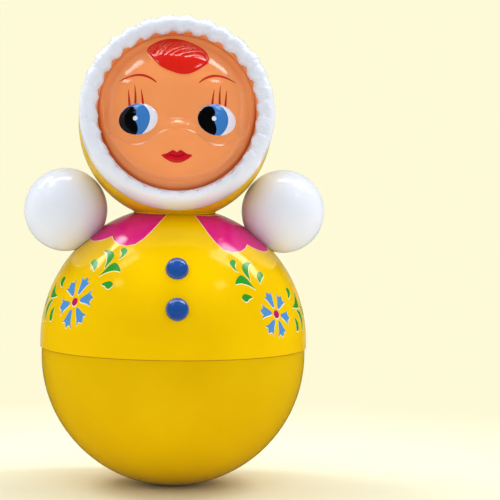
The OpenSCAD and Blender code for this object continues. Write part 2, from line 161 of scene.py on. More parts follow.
# name, azimuth, elevation, distance, width and height in metres, power in watts, spin
LAMPS = (("left_strip", -122, 45, 0.95, 0.14, 0.42, 2.6, 50),
         ("right_strip", 110, 45, 0.95, 0.14, 0.46, 2.8, -21),
         ("ceiling_bar", 180, 81, 0.93, 1.25, 0.17, 4.2, 0),
         ("left_high", -84, 58, 0.95, 0.12, 0.26, 0.50, 0),
         ("right_high", 88, 58, 0.95, 0.12, 0.26, 0.70, 0),
         ("left_patch", -68, 42, 1.0, 0.14, 0.10, 0.22, 0),
         ("right_patch", 54, 44, 1.0, 0.16, 0.10, 0.26, 0),
         ("front_fill", 0, 24, 2.2, 2.4, 1.6, 9.6, 0))
CHIN_PLACE, SPOT_ELEVATION, SPOT_DISTANCE = (0, -0.035, 0.107), 18, 2.0
SPOT_POWER, SPOT_ANGLE, SPOT_BULB = 42.0, 2.0, 0.012

lamps = {}
for name, azimuth, elevation, distance, width, height, power, spin in LAMPS:
    light = bpy.data.lights.new(name, "AREA")
    light.shape, light.size, light.size_y, light.energy = "RECTANGLE", width, height, power
    light.color = LAMP_WHITE
    lamps[name] = aimed(name, light, around(azimuth, elevation, distance, DOLL_MIDDLE), DOLL_MIDDLE, spin)
light = bpy.data.lights.new("chin_spot", "SPOT")
light.energy, light.shadow_soft_size = SPOT_POWER, SPOT_BULB
light.spot_size, light.spot_blend = math.radians(SPOT_ANGLE), 1.0
stand = around(0, SPOT_ELEVATION, SPOT_DISTANCE, CHIN_PLACE)
lamps["chin_spot"] = aimed("chin_spot", light, stand, CHIN_PLACE)
for name in ("front_fill", "chin_spot"):
    lamps[name].visible_glossy = False
print("lamps", list(lamps))

# %% [markdown]
# The room lights the doll from all round, and more from the sides. Its reflection is another matter: the gloss
# sees a dim room in front, which keeps the yellow deep, and the pale backdrop behind, which draws a rim of
# light along the edges. The camera itself sees only the flat backdrop.

# %% Room and backdrop
BACKDROP, ROOM_WHITE = "#FEFAD7", "#F6F9FF"
DIM_FRONT, BRIGHT_BACK, BACK_FROM, AMBIENT, SIDE_LIGHT = 0.02, 0.50, 0.8, 0.39, 0.64

scene.world = bpy.data.worlds.new("studio")
scene.world.use_nodes = True
tree = scene.world.node_tree
tree.nodes.clear()
toward = read(add(tree, APART, {0: add(tree, "ShaderNodeTexCoord").outputs["Generated"]}))
ray = read(add(tree, "ShaderNodeLightPath"))
room, soft, backdrop = [
    add(tree, "ShaderNodeBackground", {"Color": linear(colour), "Strength": strength}) for colour, strength in (
        (BACKDROP, toward["Y"].to("STEP", BACK_FROM, 1.0, DIM_FRONT, BRIGHT_BACK)),
        (ROOM_WHITE, toward["X"].to("ABSOLUTE") * SIDE_LIGHT + AMBIENT), (BACKDROP, 1.0))]
mirror = ray["Is Glossy Ray"].to("MAXIMUM", ray["Is Transmission Ray"])
mixed = add(tree, "ShaderNodeMixShader", {0: mirror, 1: soft, 2: room})
mixed = add(tree, "ShaderNodeMixShader", {0: ray["Is Camera Ray"], 1: mixed, 2: backdrop})
add(tree, "ShaderNodeOutputWorld", {0: mixed})
print("backdrop", BACKDROP)

# %% [markdown]
# The floor is plain pale paper. Close to the doll it is a real matt surface that takes the doll's shadow, and
# further out the camera sees it as the same pale colour as the backdrop, so no horizon line shows.

# %% Floor
FLOOR_R, FLOOR_DROP, FLOOR_STEPS = 0.6, 0.00005, 96
FLOOR_PAPER, FLOOR_BOUNCE, FLOOR_MIRRORED = "#E9E4C8", "#FFFAEC", 0.05
SHADOW_R0, SHADOW_R1 = 0.10, 0.32


def ellipse(a, b, steps, middle=(0.0, 0.0)):
    """Points round an ellipse."""
    t = np.linspace(0, FULL_TURN, steps, endpoint=False)
    return np.column_stack([middle[0] + a * np.cos(t), middle[1] + b * np.sin(t)])


def blank(name):
    """A new material with an empty tree, and the object's own coordinates in it."""
    material = bpy.data.materials.new(name)
    material.use_nodes = True
    tree = material.node_tree
    tree.nodes.clear()
    return material, tree, add(tree, "ShaderNodeTexCoord").outputs["Object"]


def tones(tree, share, colour, deep):
    """A colour that goes over into a deeper one by a share."""
    return add(tree, MIX, {0: share, 6: linear(colour), 7: linear(deep)}, data_type="RGBA").outputs[2]


floor_mesh = bpy.data.meshes.new("floor")
rim = [(x, y, -FLOOR_DROP) for x, y in ellipse(FLOOR_R, FLOOR_R, FLOOR_STEPS)]
floor_mesh.from_pydata(rim, [], [range(FLOOR_STEPS)])
floor = bpy.data.objects.new("floor", floor_mesh)
scene.collection.objects.link(floor)
paper, tree, coord = blank("floor_paper")
ray = read(add(tree, "ShaderNodeLightPath"))
reach = read(add(tree, VECTOR, {0: coord}, operation="LENGTH"))["Value"]
blend = reach.to("STEP", SHADOW_R0, SHADOW_R1, 0.0, 1.0) * ray["Is Camera Ray"]
sheet = tones(tree, ray["Is Camera Ray"], FLOOR_BOUNCE, FLOOR_PAPER)
matt = add(tree, "ShaderNodeBsdfDiffuse", {"Color": sheet})
plain, dim = [add(tree, "ShaderNodeEmission", {"Color": linear(BACKDROP), "Strength": strength})
              for strength in (1.0, FLOOR_MIRRORED)]
mixed = add(tree, "ShaderNodeMixShader", {0: blend, 1: matt, 2: plain})
mixed = add(tree, "ShaderNodeMixShader", {0: ray["Is Glossy Ray"], 1: mixed, 2: dim})
add(tree, "ShaderNodeOutputMaterial", {0: mixed})
floor_mesh.materials.append(paper)
print("floor radius", FLOOR_R, "m")

# %% [markdown]
# The shells, hands, face and buttons are soft thermoplastic from polished moulds. The mould's polish gives a
# clear gloss, and the plastic shrinks a little unevenly as it cools, so reflections ripple slightly over
# centimetres. Handling leaves a very fine haze. One function makes this finish, and each colour calls it.

# %% Moulded plastic
MARK_MM, MARK_ROUGH, RIPPLE_HIGH_MM = 1.6, 0.7, 0.2
# the values of a noise between which a tone or a gloss changes
CLOUD_SPAN, MARK_SPAN, GRAIN_SPAN = (0.35, 0.7), (0.4, 0.75), (0.3, 0.7)


def specks(tree, coord, size_mm, detail, rough=0.5):
    """A noise with specks of a given size."""
    return add(tree, NOISE, {"Vector": coord, "Scale": 1000 / size_mm, "Detail": detail, "Roughness": rough})


def between(tree, noise, span, low, high):
    """A value that goes from low to high as the noise crosses its span."""
    return add(tree, RANGE, {0: noise, 1: span[0], 2: span[1], 3: low, 4: high})


def bumps(tree, strength, high_mm, height):
    """A relief too fine for the mesh."""
    return add(tree, "ShaderNodeBump", {"Strength": strength, "Distance": high_mm * MM, "Height": height})


def coat(material, tree, sockets):
    """Ends a material in its shader."""
    add(tree, "ShaderNodeOutputMaterial", {0: add(tree, "ShaderNodeBsdfPrincipled", sockets)})
    return material


def moulded(name, colour, deep, gloss, haze, cloud_mm=38.0, ripple_mm=11.0, ripple=0.12, ior=1.5,
            tint="#FFFFFF", bloom=0.0):
    """Moulded plastic: colour with slow clouds of a deeper tone, gloss with a haze of fine handling marks."""
    material, tree, coord = blank(name)
    base = tones(tree, between(tree, specks(tree, coord, cloud_mm, 2.0), CLOUD_SPAN, 0.0, 1.0), colour, deep)
    rough = between(tree, specks(tree, coord, MARK_MM, 4.0, MARK_ROUGH), MARK_SPAN, gloss, gloss + haze)
    bump = bumps(tree, ripple, RIPPLE_HIGH_MM, specks(tree, coord, ripple_mm, 1.0))
    return coat(material, tree, {"Base Color": base, "Roughness": rough, "Normal": bump, "IOR": ior,
                                 "Specular Tint": linear(tint), "Sheen Weight": bloom})


# Low-density polyethylene, blow moulded and polished: deep yellow with a wet-looking gloss.
yellow = moulded("yellow_polyethylene", "#ECBF00", "#E6B700", 0.10, 0.05, ior=1.31, tint="#FFF4B4")
# The bowl is a separate moulding. Its copy of the yellow is darker, which paints in the shade on the doll's
# lower half.
bowl_yellow_painted_shade = moulded("yellow_polyethylene_bowl_painted_shade", "#DDB200", "#D7AA00", 0.10, 0.05, ior=1.31, tint="#FFF4B4")
# The same plastic, white: slightly milky, with a faint bloom over its gloss.
white = moulded("white_polyethylene", "#E6E9F2", "#E1E5EE", 0.09, 0.03, ripple=0.04, bloom=0.25)
# The trim is soft white vinyl, moulded hollow, and duller than the hands.
furry = moulded("white_vinyl", "#E3E6EE", "#DBDFE9", 0.14, 0.05, ripple=0.04, bloom=0.06)
# Flesh-coloured vinyl, moulded in a polished cavity: the face's highlights are sharp.
flesh = moulded("flesh_vinyl", "#F89C5F", "#F49455", 0.09, 0.04, ripple=0.04, ior=1.65)
# Polystyrene buttons: harder and glossier than the shells.
blue = moulded("blue_polystyrene", "#1F4C97", "#1B448D", 0.08, 0.04, cloud_mm=6, ripple_mm=5, ripple=0.05,
               ior=1.59)
# Unpigmented polypropylene for the inner frame: waxy and dull.
natural = moulded("natural_polypropylene", "#E6E2D6", "#DDD8C8", 0.42, 0.12, cloud_mm=12, ripple_mm=5)
print("plastics", [m.name for m in (yellow, white, flesh, blue, natural)])

# %% [markdown]
# The ballast, rods, hammer balls, pins and screws are hidden in the body, but a finish belongs on them too.
# Cast iron is dull and pitted by the sand it was poured in. Drawn steel has fine lines along its length.

# %% Metals of the inner works
PIT_MM = 0.1


def metal(name, colour, deep, gloss, spread, grain, pit):
    """A metal whose grain changes its colour, gloss and relief alike."""
    material, tree, coord = blank(name)
    turned = add(tree, "ShaderNodeMapping", {"Vector": coord, "Scale": grain})
    grain = add(tree, NOISE, {"Vector": turned, "Scale": 1.0, "Detail": 4.0})
    rough = between(tree, grain, GRAIN_SPAN, gloss, gloss + spread)
    return coat(material, tree, {"Base Color": tones(tree, grain, colour, deep), "Roughness": rough,
                                 "Normal": bumps(tree, pit, PIT_MM, grain), "Metallic": 1.0})


# Grey iron, sand cast: sand grains of about 0.7 mm pit the skin.
iron = metal("cast_iron", "#6A6B6E", "#434447", 0.50, 0.25, (1000 / 0.7,) * 3, 0.6)
# Bright drawn steel: fine lines, 0.3 mm apart and 8 mm long, run up the rods.
steel = metal("drawn_steel", "#C4C8CC", "#A4A8AE", 0.22, 0.12, (1000 / 0.3, 1000 / 0.3, 1000 / 8), 0.15)

FINISHES = {"yellow_plastic": yellow, "white_plastic": white, "flesh_plastic": flesh, "blue_plastic": blue,
            "natural_plastic": natural, "ballast_iron": iron, "chime_steel": steel}
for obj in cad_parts.values():
    for place in obj.material_slots:
        place.material = FINISHES[place.material.name.split(".")[0]]
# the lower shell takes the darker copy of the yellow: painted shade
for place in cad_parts["lower_shell"].material_slots:
    place.material = bowl_yellow_painted_shade
print("dressed", len(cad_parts), "nodes")

# %% [markdown]
# The paint is opaque enamel, sprayed through masks on the face and printed on the body. It lies on the plastic
# as a film of a few hundredths of a millimetre, takes the gloss of what is under it, and is a little uneven.

# %% Enamel paints
PEEL_MM, PEEL_HIGH_MM, PEEL, THIN_HAZE = 0.8, 0.05, 0.05, 0.08


def enamel(name, colour, deep, gloss, mottle_mm=2.5, ior=1.5):
    """Opaque paint: a mottled tone where the film is thinner, and a slight orange peel."""
    material, tree, coord = blank(name)
    mottle = specks(tree, coord, mottle_mm, 3.0)
    rough = between(tree, mottle, GRAIN_SPAN, gloss, gloss + THIN_HAZE)
    bump = bumps(tree, PEEL, PEEL_HIGH_MM, specks(tree, coord, PEEL_MM, 1.0))
    return coat(material, tree, {"Base Color": tones(tree, mottle, colour, deep), "Roughness": rough,
                                 "Normal": bump, "IOR": ior})


PAINT = {
    "magenta": enamel("magenta_enamel", "#D80A7A", "#CE0772", 0.12, ior=1.35),
    "green": enamel("green_enamel", "#2D9A2E", "#268E28", 0.14, ior=1.3),
    "petal": enamel("petal_blue_enamel", "#5290CC", "#4886C2", 0.14, ior=1.3),
    "berry": enamel("berry_enamel", "#BE1A62", "#B2145A", 0.14, ior=1.35),
    "pale": enamel("pale_underprint", "#F4EFCB", "#EEE6B8", 0.16, ior=1.35),
    "black": enamel("black_enamel", "#050507", "#08080A", 0.10, ior=1.28),
    "iris": enamel("iris_blue_enamel", "#3B7BC2", "#3572B8", 0.10, ior=1.4),
    "eye_white": enamel("white_enamel", "#E8E7EF", "#DEDDE8", 0.10),
    "lip": enamel("lip_red_enamel", "#CE0A24", "#BE061E", 0.10),
    "hair": enamel("hair_red_enamel", "#E62216", "#D21A10", 0.08, mottle_mm=1.2, ior=1.75),
    "brow": enamel("brow_brown_enamel", "#C42210", "#B41C0C", 0.20, mottle_mm=0.8, ior=1.4),
}
print("paints", sorted(PAINT))

# %% [markdown]
# The face is a shallow dome with soft relief: sunk eye sockets with eyes that swell out of them, a button
# nose, full cheeks, lips, a chin and a combed forelock. Each swelling is a rule, so the face is a height
# worked out over a disc. Sculpting by hand would be as quick, but a rule can be read and changed.

# %% The face's frame and its sizes, in millimetres
HEAD_Z, FACE_TILT = 163.096, 14.0
DOME_R, DOME_MID = 50.0, -13.951
FACE_R, FLANGE_R, FLANGE_W, FACE_WALL = 34.541, 38.341, 19.7, 1.6
LIP_R, LIP_WALL, LIP_W, GROOVE_W, LIP_LOW, LIP_HIGH, LIP_LEAN = 35.42, 0.4, 25.8, 20.9, 4.2, 1.5, 0.5
EYE_X, EYE_Y, EYE_A, EYE_B = 17.2, -4.9, 8.5, 6.85
LIPS_X, LIPS_Y = -0.3, -21.5

tilt = math.radians(FACE_TILT)
head_frame = Matrix(((1, 0, 0, 0), (0, math.sin(tilt), -math.cos(tilt), 0),
                     (0, math.cos(tilt), math.sin(tilt), HEAD_Z * MM), (0, 0, 0, 1)))


def smooth_loop(points, steps=10):
    """A closed curve through the points, without corners."""
    p = np.array(points, float)
    before, after, later = np.roll(p, 1, 0), np.roll(p, -1, 0), np.roll(p, -2, 0)
    t = np.linspace(0, 1, steps, endpoint=False)[:, None, None]
    curve = 0.5 * (2 * p + (after - before) * t + (2 * before - 5 * p + 4 * after - later) * t ** 2
                   + (3 * p - before - 3 * after + later) * t ** 3)
    return curve.transpose(1, 0, 2).reshape(-1, 2)


LIPS = smooth_loop([(-6.7, 0.35), (-4.3, 1.05), (-2.1, 2.25), (-0.9, 2.1), (0, 1.5), (0.9, 2.1), (2.1, 2.25),
                    (4.3, 1.05), (6.7, 0.35), (4.6, -1.35), (2.2, -2.5), (0, -2.8), (-2.2, -2.5),
                    (-4.6, -1.35)]) + (LIPS_X, LIPS_Y)
FORELOCK = smooth_loop([(-13.4, 26.8), (-12.5, 25.1), (-11.1, 23.2), (-9.5, 20.9), (-7.6, 18.8), (-4.8, 17.0),
                        (-1.8, 15.7), (0.6, 14.9), (3.4, 14.8), (6.1, 15.5), (8.7, 17.0), (11.4, 19.0),
                        (13.2, 20.8), (13.8, 23.2), (13.1, 25.7), (11.4, 28.1), (8.0, 30.3), (4.4, 32.0),
                        (0.3, 33.0), (-3.6, 33.1), (-7.1, 32.4), (-10.1, 31.0), (-12.5, 29.2)], 5)
print("face frame at", [round(v, 4) for v in head_frame.translation])

# %% [markdown]
# Four small rules shape everything on the face: a smooth step, a straight slope with rounded ends, a round
# hill, and the distance from an outline. The relief is their sum. At the top of the face its edge turns up
# into a fillet, and at the chin it rolls over into a groove.

# %% The face's relief
SOCKET_X, SOCKET_Y, SOCKET_A, SOCKET_B, BRIDGE_Y, SOCKET_BLEND = 17.7, -5.2, 10.3, 11.2, -10.4, 2.4
SOCKET_DEPTH, RIM_STEP, RIM_WIDE, EYE_SWELL, EYE_POWER = 1.1, 0.88, 0.88, 3.1, 0.9
FOLD_Y, FOLD_HALF, FOLD_STEP, JAW_Y, JAW_BOW, JAW_DEPTH, JAW_WIDE = -5.1, 0.25, 0.42, -31.4, 0.016, 0.6, 0.9
LIP_SWELL, MOUTH_DEPTH, MOUTH_WIDE, MOUTH_UP, MOUTH_BOW, MOUTH_WAVE = 0.9, 0.8, 0.45, 0.25, 0.35, 0.9
LOCK_SWELL, LOCK_EDGE, LOCK_ROUND, COMB_X, COMB_Y, COMB_WAVE, COMB_RATE = 1.7, 0.1, 6.5, 8.0, 16.0, 0.25, 0.5
STRAND_MM, STRAND_DEPTH, STRAND_LEAN, STRAND_RATE, STRAND_ROUND = 1.45, 0.65, 1.5, 2.4, 4.0
PART_Y, PART_SLOPE, PART_DEPTH, PART_WIDE = 24.3, 0.10, 0.12, 0.7
FILLET_R, FILLET_OVER, FILLET_SOFT, FILLET_RISE = 32.6, 0.6, 0.35, 2.9
ROLL_R, ROLL_DROP, PLAIN_R = 33.3, 0.7, 31.0
# from where to where a form comes in, or goes out
SOCKET_IN, SOCKET_OUT, FOLD_OUT, FOLD_END, JAW_END = (0.4, 5.0), (-2, 14), (-4.7, 6), (4.0, 7.5), (13, 19)
LIP_IN, MOUTH_IN, COMB_IN, PART_IN, FILLET_IN = (-0.25, 1.3), (0.1, 0.8), (0.2, 1.5), (-1.5, 1.5), (-0.35, 0.45)
# height, middle and half widths: the nose's tip, the nose, the mouth and the chin, and then a cheek
HILLS = ((1.3, -0.1, -8.1, 3.3, 2.0), (0.6, 0, -8.0, 5.5, 4.0), (0.7, 0, -21, 8.5, 5),
         (1.1, 0.5, -27.8, 6.0, 3.0))
CHEEK = (1.1, 17.0, -20.5, 8.5, 5.5)


def ease(low, high, x):
    """0 below low, 1 above high, and a smooth step between."""
    t = np.clip((x - low) / (high - low), 0, 1)
    return t * t * (3 - 2 * t)


def ramp(low, high, x, soft=0.12):
    """0 below low, 1 above high, a straight slope between, and small rounded ends."""
    a, b = (x - low) / soft, (x - high) / soft
    return (np.logaddexp(0, a) - np.logaddexp(0, b)) * soft / (high - low)


def hill(x, y, high, cx, cy, rx, ry):
    """A rounded hill."""
    return high * np.exp(-((x - cx) / rx) ** 2 - ((y - cy) / ry) ** 2)


def inside(loop, x, y):
    """How far points are inside a closed loop; negative outside."""
    a, b = loop, np.roll(loop, -1, 0)
    px, py = np.ravel(x)[:, None], np.ravel(y)[:, None]
    d = b - a
    t = np.clip(((px - a[:, 0]) * d[:, 0] + (py - a[:, 1]) * d[:, 1]) / ((d ** 2).sum(1) + 1e-12), 0, 1)
    gap = np.sqrt((px - a[:, 0] - t * d[:, 0]) ** 2 + (py - a[:, 1] - t * d[:, 1]) ** 2).min(1)
    span = (a[:, 1] > py) != (b[:, 1] > py)
    cross = px < a[:, 0] + (py - a[:, 1]) * d[:, 0] / np.where(np.abs(d[:, 1]) < 1e-12, 1e-12, d[:, 1])
    odd = (span & cross).sum(1) % 2 == 1
    return np.where(odd, gap, -gap).reshape(np.shape(x))


def relief(x, y):
    """Height of the face over its plain dome."""
    side = np.abs(x)
    u, v = (side - SOCKET_X) / SOCKET_A, (y - SOCKET_Y) / SOCKET_B
    far = np.hypot(u, v) + 1e-6
    sunk_eye = (1 - far) * far / np.hypot(u / SOCKET_A, v / SOCKET_B + 1e-9)
    sunk = np.logaddexp(sunk_eye / SOCKET_BLEND, (y - BRIDGE_Y) / SOCKET_BLEND) * SOCKET_BLEND
    sockets = RIM_STEP * ramp(0, RIM_WIDE, sunk) + SOCKET_DEPTH * ease(*SOCKET_IN, sunk)
    h = -sockets * (1 - ease(*SOCKET_OUT, y))
    eye = 1 - ((side - EYE_X) / EYE_A) ** 2 - ((y - EYE_Y) / EYE_B) ** 2
    h = h + EYE_SWELL * np.clip(eye, 0, 1) ** EYE_POWER
    h = h + sum(hill(x, y, *shape) for shape in HILLS) + hill(side, y, *CHEEK)
    fold = ramp(FOLD_Y - FOLD_HALF, FOLD_Y + FOLD_HALF, y)
    fold = fold * (1 - ease(*FOLD_OUT, y)) * (1 - ease(*FOLD_END, side))
    jaw = np.exp(-((y - JAW_Y - JAW_BOW * x ** 2) / JAW_WIDE) ** 2) * (1 - ease(*JAW_END, side))
    h = h - FOLD_STEP * fold - JAW_DEPTH * jaw
    lips = inside(LIPS, x, y)
    mouth = y - (LIPS_Y + MOUTH_UP - MOUTH_BOW * np.cos((x - LIPS_X) * MOUTH_WAVE))
    h = h + LIP_SWELL * ease(*LIP_IN, lips)
    h = h - MOUTH_DEPTH * np.exp(-(mouth / MOUTH_WIDE) ** 2) * ease(*MOUTH_IN, lips)
    lock = inside(FORELOCK, x, y)
    comb = np.hypot(x - COMB_X, y - COMB_Y) / STRAND_MM + COMB_WAVE * np.sin(x * COMB_RATE)
    across = comb - np.floor(comb) - 0.5
    strand = STRAND_LEAN * across * np.sin(STRAND_RATE * np.floor(comb)) - STRAND_ROUND * across ** 4
    parting = y - PART_Y + PART_SLOPE * x
    combed = STRAND_DEPTH * strand * ease(*PART_IN, parting) - PART_DEPTH * np.exp(-(parting / PART_WIDE) ** 2)
    swell = LOCK_SWELL * np.sqrt(np.clip(lock + LOCK_EDGE, 0, LOCK_ROUND) / LOCK_ROUND)
    return h + swell + combed * ease(*COMB_IN, lock)


def fillet(x, y):
    """1 at the top of the face's edge and 0 at its chin: how much of the edge is a fillet, not a groove."""
    return ease(*FILLET_IN, y / (np.hypot(x, y) + 1e-6))


def face_height(x, y):
    """The outer skin of the face, with its edge."""
    r, up = np.hypot(x, y), fillet(x, y)
    edge = FILLET_RISE * ramp(FILLET_R, FACE_R + FILLET_OVER, r, FILLET_SOFT) * up
    edge = edge - ROLL_DROP * ease(ROLL_R, FACE_R, r) ** 2 * (1 - up)
    return DOME_MID + np.sqrt(DOME_R ** 2 - r ** 2) + relief(x, y) * (1 - ease(PLAIN_R, FILLET_R, r)) + edge


nose = float(face_height(*np.array(HILLS[0][1:3])))
print("nose tip at", round(nose, 2), "mm from the middle of the head")

# %% [markdown]
# The face's mesh is a stack of rings: the outer skin, the groove and the thin lining beside the trim, the
# flange, and the inner skin. Each ring is worked out at once, and quads join each ring to the next.

# %% The face's mesh
FACE_STEPS, FACE_RINGS, BACK_RINGS, BACK_SINK, FACE_SHARP = 440, 186, 12, 1.0, 60
SAME_LEVEL, GROOVE_UNDER, GROOVE_ROUND, LIP_BEND, LIP_ROUND = 0.5, 1.2, 0.3, 1.0, 0.15
groove_rise, lip_in = LIP_W - GROOVE_UNDER - GROOVE_W, LIP_R - LIP_WALL
RIM = ((FACE_R, GROOVE_W + GROOVE_ROUND), (FACE_R + GROOVE_ROUND / 3, GROOVE_W + GROOVE_ROUND / 6),
       (FACE_R + GROOVE_ROUND, GROOVE_W), (lip_in - GROOVE_ROUND / 6, GROOVE_W + GROOVE_ROUND / 3),
       (lip_in, GROOVE_W + GROOVE_ROUND), (lip_in, LIP_W - LIP_BEND), (lip_in, LIP_W - LIP_ROUND),
       (LIP_R - 0.6 * LIP_WALL, LIP_W), (LIP_R - 0.3 * LIP_WALL, LIP_W), (LIP_R, LIP_W - LIP_ROUND),
       (LIP_R, FLANGE_W), (FLANGE_R, FLANGE_W), (FLANGE_R, FLANGE_W - FACE_WALL),
       (FACE_R - FACE_WALL, FLANGE_W - FACE_WALL))


def new_piece(name, verts, faces, material, frame_matrix=None, sharp=None):
    """A mesh object at the origin, with its place in its mesh."""
    mesh = bpy.data.meshes.new(name)
    mesh.from_pydata([tuple(v) for v in verts], [], [tuple(f) for f in faces])
    if frame_matrix is not None:
        mesh.transform(frame_matrix)
    mesh.materials.append(material)
    mesh.shade_smooth()
    if sharp:
        mesh.set_sharp_from_angle(angle=math.radians(sharp))
    obj = bpy.data.objects.new(name, mesh)
    scene.collection.objects.link(obj)
    return obj


circle = ellipse(1.0, 1.0, FACE_STEPS)
up = fillet(circle[:, 0], circle[:, 1])
worn = LIP_LOW * (0.5 - 0.5 * circle[:, 1]) ** 2
rows = []
for r in np.linspace(0, FACE_R, FACE_RINGS + 1)[1:]:
    x, y = r * circle.T
    rows.append(np.column_stack([x, y, face_height(x, y)]))
for r, w in RIM:
    on_top, above = w > LIP_W - SAME_LEVEL, w > FLANGE_W + SAME_LEVEL
    lift = LIP_HIGH if on_top else groove_rise if above and w < GROOVE_W + SAME_LEVEL else 0.0
    r = r + LIP_LEAN * up * on_top
    w = w + lift * up
    w = w - worn * above * (w - FLANGE_W) / (LIP_W - FLANGE_W)
    rows.append(np.column_stack([r * circle[:, 0], r * circle[:, 1], w]))
for r in np.linspace(FACE_R - FACE_WALL, 0, BACK_RINGS + 1)[:-1]:
    w = DOME_MID + math.sqrt((DOME_R - FACE_WALL) ** 2 - r ** 2) - BACK_SINK
    rows.append(np.column_stack([r * circle, np.full(FACE_STEPS, w)]))
front_tip = [0, 0, float(face_height(np.array(0.0), np.array(0.0)))]
back_tip = [0, 0, DOME_MID + DOME_R - FACE_WALL - BACK_SINK]
verts = np.vstack([[front_tip], *rows, [back_tip]]) * MM
faces, last = [], len(verts) - 1
for i in range(FACE_STEPS):
    j = (i + 1) % FACE_STEPS
    faces.append((0, 1 + i, 1 + j))
    for a in range(1, last - FACE_STEPS, FACE_STEPS):
        b = a + FACE_STEPS
        faces.append((a + i, b + i, b + j, a + j))
    faces.append((last, last - FACE_STEPS + j, last - FACE_STEPS + i))
face = new_piece("face", verts, faces, flesh, head_frame, FACE_SHARP)
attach(face, "head")
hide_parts("face_plate")
print("face", len(faces), "faces")

# %% [markdown]
# Each painted shape is a film: a flat outline, filled with small triangles, laid on the surface and given a
# little thickness. A texture could hold the same picture, but a film keeps a crisp edge at any size.

# %% Flat films
ROOT, HOLE_STEPS, SLOPE_STEP, FILM_SHARP = 0.06, 40, 0.02, 40
ROW_STEP, BORDER_GAP, SAME_POINT, NO_AREA = 0.866, 0.45, 1e-7, 1e-9


def flat_film(loops, step, holes=()):
    """Triangles inside the outlines and outside the round holes: points, faces and border edges."""
    shown = [np.asarray(loop, float) for loop in loops]
    points, edges = [], []
    for loop in shown + [ellipse(r, r, HOLE_STEPS, (cx, cy)) for cx, cy, r in holes]:
        start = len(points)
        points += [tuple(p) for p in loop]
        edges += [(start + i, start + (i + 1) % len(loop)) for i in range(len(loop))]

    def depth(x, y):
        deep = np.max([inside(loop, x, y) for loop in shown], axis=0)
        for cx, cy, r in holes:
            deep = np.minimum(deep, np.hypot(x - cx, y - cy) - r)
        return deep

    low, high = np.vstack(shown).min(0), np.vstack(shown).max(0)
    gx, gy = np.meshgrid(np.arange(low[0], high[0], step), np.arange(low[1], high[1], step * ROW_STEP))
    gx = gx + (np.arange(gx.shape[0]) % 2)[:, None] * step / 2
    gx, gy = gx.ravel(), gy.ravel()
    keep = depth(gx, gy) > BORDER_GAP * step
    points += list(zip(gx[keep], gy[keep]))
    made = delaunay_2d_cdt([Vector(p) for p in points], edges, [], 0, SAME_POINT)
    xy, tris = np.array([tuple(p) for p in made[0]]), np.array(made[2])
    middle = xy[tris].mean(1)
    tris = tris[depth(middle[:, 0], middle[:, 1]) > 0]
    a, b = xy[tris[:, 1]] - xy[tris[:, 0]], xy[tris[:, 2]] - xy[tris[:, 0]]
    area = a[:, 0] * b[:, 1] - a[:, 1] * b[:, 0]
    tris[area < 0] = tris[area < 0][:, ::-1]
    used, tris = np.unique(tris[np.abs(area) > NO_AREA], return_inverse=True)
    xy, tris = xy[used], tris.reshape(-1, 3)
    edges = dict.fromkeys((int(t[i]), int(t[i - 2])) for t in tris for i in range(3))
    return xy, tris, [edge for edge in edges if edge[::-1] not in edges]


def thick(xy, tris, border, place, proud):
    """Lays a flat film on a surface and closes it: top skin, bottom skin and the wall between."""
    spot, normal = place(xy)
    n = len(xy)
    verts = np.vstack([spot + normal * proud, spot - normal * ROOT]) * MM
    faces = [tuple(int(v) for v in t) for t in tris] + [tuple(int(v) + n for v in t[::-1]) for t in tris]
    faces += [(b, a, a + n, b + n) for a, b in border]
    return verts, faces


def on_face(xy):
    """Points and normals of the face's skin."""
    x, y = xy.T
    e = SLOPE_STEP
    slope_x = (face_height(x + e, y) - face_height(x - e, y)) / (2 * e)
    slope_y = (face_height(x, y + e) - face_height(x, y - e)) / (2 * e)
    normal = np.column_stack([-slope_x, -slope_y, np.ones_like(x)])
    return np.column_stack([x, y, face_height(x, y)]), normal / np.linalg.norm(normal, axis=1)[:, None]


def face_film(name, loops, paint, proud, step):
    """A painted shape on the face, as one piece that rides on the head."""
    verts, faces = thick(*flat_film(loops, step), on_face, proud)
    obj = new_piece(name, verts, faces, PAINT[paint], head_frame, FILM_SHARP)
    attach(obj, "head")
    print(name, len(faces), "faces")


print("each film is rooted", ROOT, "mm deep")

# %% [markdown]
# The eyes look to the doll's right. On each, white paint covers the whole swelling, then comes a round blue
# iris, then a black lobe with a waving edge, then a white dot. Both eyes are painted alike, not mirrored.

# %% Eyes
IRIS_X, IRIS_Y, IRIS_R, IRIS_FIT = -2.7, -0.2, 7.75, 0.992
LOBE_EDGE = [(-6.9, 3.4), (-5.5, 4.75), (-3.8, 5.45), (-2.2, 5.05), (-1.3, 3.9), (-0.9, 2.5), (-1.05, 1.2),
             (-1.4, 0.0), (-1.3, -1.35), (-0.6, -2.8), (-0.2, -4.2), (-0.3, -5.6), (-1.1, -6.75)]
LOBE_FIT, LOBE_BACK, LOBE_STEPS = 0.985, 16, 6
GLINT_X, GLINT_Y, GLINT_R, GLINT_STEPS, EYE_STEPS = -1.3, -0.25, 1.0, 32, 96


def in_eye(points, scale):
    """Pulls points that lie outside the eye's oval back to its edge."""
    p = np.array(points, float)
    reach = np.sqrt((p[:, 0] / (EYE_A * scale)) ** 2 + (p[:, 1] / (EYE_B * scale)) ** 2)
    return p / np.maximum(reach, 1)[:, None]


oval = ellipse(EYE_A, EYE_B, EYE_STEPS)
iris = in_eye(ellipse(IRIS_R, IRIS_R, EYE_STEPS, (IRIS_X, IRIS_Y)), IRIS_FIT)
top, bottom = [math.atan2(y / EYE_B, x / EYE_A) for x, y in (LOBE_EDGE[0], LOBE_EDGE[-1])]
rim = np.linspace(bottom, top - FULL_TURN, LOBE_BACK)[1:-1]
lobe = smooth_loop(LOBE_EDGE + list(zip(EYE_A * np.cos(rim), EYE_B * np.sin(rim))), LOBE_STEPS)
lobe = in_eye(lobe, LOBE_FIT)
glint = ellipse(GLINT_R, GLINT_R, GLINT_STEPS, (GLINT_X, GLINT_Y))
